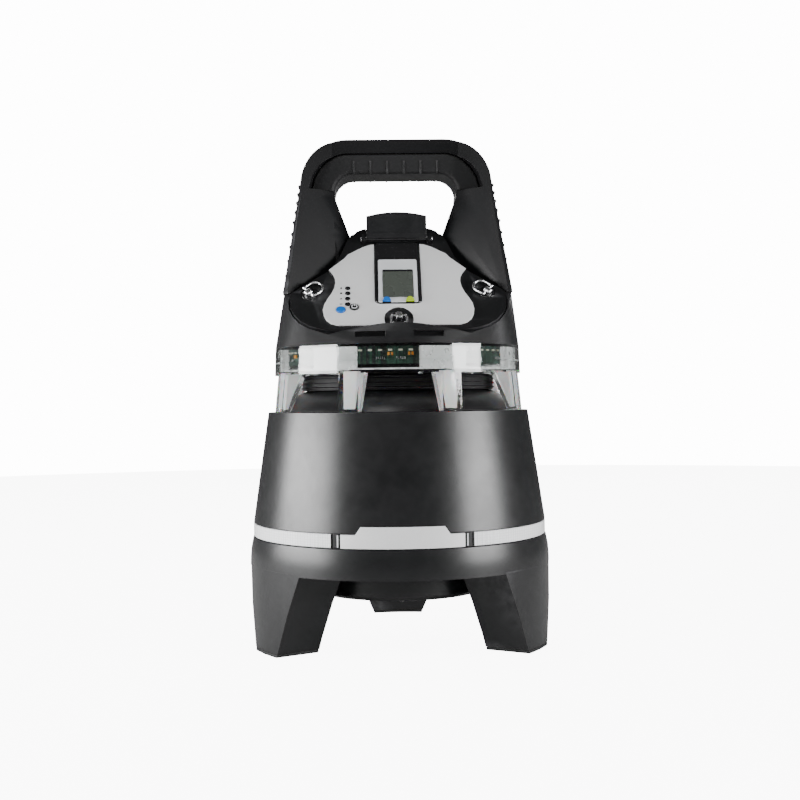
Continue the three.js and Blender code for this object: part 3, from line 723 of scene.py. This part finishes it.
def make_strut_guides(low, high):
    """Frosted light guides that run down inside the clear struts."""
    bm = bmesh.new()
    wide = (high.x - low.x) / 2
    foot, head = low.z + 0.0022, low.z + 0.0372
    for i in range(8):
        turn = Matrix.Rotation(math.radians(22.5 + 45 * i), 4, "Z")
        section = {foot: (wide - 0.0012, 0.0034, 0.0055), head: (wide - 0.0047, 0.0128, 0.0068)}
        rows = []
        for z, (outer, deep, half) in section.items():
            rows.append([bm.verts.new(turn @ Vector((x, y, z))) for x, y in
                         ((-half, -outer), (half, -outer), (half, -outer + deep), (-half, -outer + deep))])
        for k in range(4):
            j = (k + 1) % 4
            bm.faces.new((rows[0][k], rows[0][j], rows[1][j], rows[1][k]))
        bm.faces.new(rows[1])
        bm.faces.new(list(reversed(rows[0])))
    finish_piece("strut_guides", bm, "main", "frosted", bevel=0.0008)


# ---- housing and handle ----
def make_housing():
    carry("upper_housing", "black", 0.0016, 4)
    carry("top_board", "board", 0.0003)
    carry("handle", "satin_black", 0.0026, 5, 24)
    carry("handle_grip", "rubber", 0.002, 4, 24)
    make_grip_ribs()
    make_leg_ribs()


def ray_to(tree, origin, direction):
    """Where a ray first meets a surface, and its normal there, or two Nones."""
    place, normal, _, _ = tree.ray_cast(Vector(origin), Vector(direction))
    return place, normal


def surface_of(node):
    data = frame["nodes"][node].data
    return BVHTree.FromPolygons([v.co for v in data.vertices], [p.vertices for p in data.polygons])


def make_grip_ribs():
    """Finger ribs over the front and the back of the grip."""
    low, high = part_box("handle_grip")
    tree = surface_of("handle_grip")
    bm = bmesh.new()
    pitch = 0.0166
    for side in (-1, 1):
        for i in range(6):
            x = (i - 2.5) * pitch
            path = []
            for k in range(13):
                z = low.z + 0.012 + (high.z - low.z - 0.019) * k / 12
                place, _ = ray_to(tree, (x, side * 0.1, z), (0, -side, 0))
                if place is not None:
                    path.append(place)
            if len(path) > 2:
                add_tube(bm, path, 0.0011, sides=10)
    finish_piece("grip_ribs", bm, "main", "rubber", smooth=60)


def make_leg_ribs():
    """Small ribs across the outer face of each leg, closer together towards the top."""
    tree = surface_of("handle")
    bm = bmesh.new()
    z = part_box("handle")[1].z - 0.0502
    heights = [z]
    for k in range(9):
        z -= 0.0074 + 0.001 * k
        heights.append(z)
    for side in (-1, 1):
        for z in heights:
            reach = []
            for k in range(17):
                y = (k / 16 - 0.5) * 0.11
                place, normal = ray_to(tree, (side * 0.2, y, z), (-side, 0, 0))
                if place is not None and normal.x * side > 0.6:
                    reach.append(place)
            if len(reach) > 3:
                add_tube(bm, reach, 0.0017, sides=10)
    finish_piece("leg_ribs", bm, "main", "black", smooth=60)


# ---- control module ----
def make_module():
    carry("module_plate", "black", 0.0012, 4)
    carry("fascia", "silver", 0.0005, 3)
    for i in range(1, 5):
        carry(f"indicator_{i}", "gloss_black", 0.0004)
    carry("power_button", "gloss_black", 0.0006)
    carry("alarm_button", "blue", 0.0008, 4)
    carry("clamp_flap", "black", 0.0016, 4)
    carry("flap_pin", "gloss_black", 0.0005)
    make_pin_heads()
    for side in ("left", "right", "bottom"):
        make_fastener(side)
    make_marks()


def make_pin_heads():
    """Bright domed heads on both ends of the flap's hinge pin."""
    low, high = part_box("flap_pin")
    middle = (low + high) / 2
    bm = bmesh.new()
    for end, turn in ((low.x, -90), (high.x, 90)):
        place = Matrix.Translation((end, middle.y, middle.z)) @ Matrix.Rotation(math.radians(turn), 4, "Y")
        append(bm, plate_mesh(oval(2.3, 2.3, steps=24), -0.2, 0.9, place))
    finish_piece("pin_heads", bm, "control_module", "steel", bevel=0.0005)


def make_fastener(side):
    """Quarter-turn stud in a dark seat, with a round-wire pull ring hinged in its block."""
    turn = JOINTS["fastener_turn_" + side]
    flip = JOINTS["ring_flip_" + side]
    centre = Vector(turn["pos_m"])
    z = Vector(turn["axis"]).normalized()
    y = Vector(flip["axis"]).normalized()
    x = y.cross(z)
    place = Matrix((x, y, z)).transposed().to_4x4()
    place.translation = centre
    body = f"fastener_{side}"
    seat = plate_mesh(oval(7.5, 7.5, steps=48), -5, 0.3, place)
    finish_piece(f"fastener_seat_{side}", seat, body, "gloss_black", [f"fastener_stud_{side}"], 35, 0.0006, 3)
    height = (Vector(flip["pos_m"]) - centre).dot(z) / MM
    block = bmesh.new()
    add_box(block, (-4.3, -3.0, 0.3), (3.2, 3.0, height + 1.7), place)
    finish_piece(f"quarter_turn_{side}", block, body, "steel", smooth=35, bevel=0.0014, segments=4)
    pins = bmesh.new()
    across = place @ Matrix.Translation((0, 0, height * MM)) @ Matrix.Rotation(math.radians(90), 4, "X")
    append(pins, plate_mesh(oval(0.9, 0.9, steps=20), -6.2, 6.2, across))
    finish_piece(f"ring_pin_{side}", pins, body, "steel")
    half, reach = 7.3, 7.4
    path = [Vector((0, -half + 0.9, 0)), Vector((1.2, -half + 0.2, 0)), Vector((3, -half, 0))]
    path += [Vector((reach + half * math.cos(a), half * math.sin(a), 0))
             for a in (-math.pi / 2 + math.pi * k / 20 for k in range(21))]
    path += [Vector((3, half, 0)), Vector((1.2, half - 0.2, 0)), Vector((0, half - 0.9, 0))]
    lifted = place @ Matrix.Translation((0, 0, height * MM))
    bm = bmesh.new()
    add_tube(bm, [lifted @ (p * MM) for p in path], 1.1 * MM, sides=16)
    eyes = Matrix.Rotation(math.radians(90), 4, "X")
    for at in (-half + 0.9, half - 0.9):
        eye = lifted @ Matrix.Translation((0, at * MM, 0)) @ eyes
        append(bm, plate_mesh(oval(1.6, 1.6, steps=20), -0.9, 0.9, eye))
    finish_piece(f"pull_wire_{side}", bm, f"pull_ring_{side}", "steel", [f"fastener_ring_{side}"], 60)


def make_marks():
    """Small generic marks beside the status lights, and the power symbol."""
    bm = bmesh.new()
    shapes = {1: oval(0.9, 1.2), 2: [(-1.1, -1), (1.1, -1), (1.1, 1), (-1.1, 1)],
              3: [(-1.3, -0.9), (1.3, -0.9), (0, 1.3)],
              4: [(-1.4, -0.5), (1.4, -0.5), (1.4, 0.5), (-1.4, 0.5)]}
    for i, outline in shapes.items():
        place = on_plate(f"indicator_{i}", -0.4) @ Matrix.Translation((-6.2 * MM, 0, 0))
        append(bm, plate_mesh(outline, -0.02, 0.08, place))
    finish_piece("status_marks", bm, "control_module", "grey_ink")
    place = on_plate("power_button", 0.1)
    bm = bmesh.new()
    arc = [place @ Vector((2.4 * MM * math.cos(a), 2.4 * MM * math.sin(a), 0))
           for a in (math.radians(120 + 300 * k / 24) for k in range(25))]
    add_tube(bm, arc, 0.00042, sides=8)
    add_tube(bm, [place @ Vector((0, 0.4 * MM, 0)), place @ Vector((0, 2.9 * MM, 0))], 0.00042, sides=8)
    finish_piece("power_symbol", bm, "power_button", "white")


def make_detector():
    carry("detector_body", "gloss_black", 0.0012, 4)
    carry("detector_bezel", "white", 0.0004, 3)
    carry("detector_display", "display", 0.0002)
    carry("detector_button_left", "blue", 0.0005, 3)
    carry("detector_button_right", "green", 0.0005, 3)
    low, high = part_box("detector_display")
    place = on_plate("detector_display", 0.05)
    width = (high.x - low.x) / MM
    bar = plate_mesh([(-width / 2 + 0.3, 15.6), (width / 2 - 0.3, 15.6), (width / 2 - 0.3, 17.6),
                      (-width / 2 + 0.3, 17.6)], -0.2, 0.05, place)
    finish_piece("display_shade", bar, "detector", "gloss_black")


# ---- rear ----
def make_rear():
    carry("rear_cover", "black", 0.001, 4)
    for name in ("charging", "alarm_output"):
        carry(name + "_socket", "gloss_black", 0.0007)
        carry(name + "_cap", "rubber", 0.0009, 4)
    normal = Vector(JOINTS["module_lift"]["axis"])
    outward = Vector((0, -normal.y, normal.z)).normalized()
    for i in range(1, 5):
        low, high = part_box(f"rear_screw_{i}")
        middle = (low + high) / 2 - outward * 0.75 * MM
        make_screw(f"rear_screw_{i}", slope_place(middle, outward), 3.5, 1.8)


make_camera()
make_stage()
make_base()
make_body()
make_ring()
make_housing()
make_module()
make_detector()
make_rear()
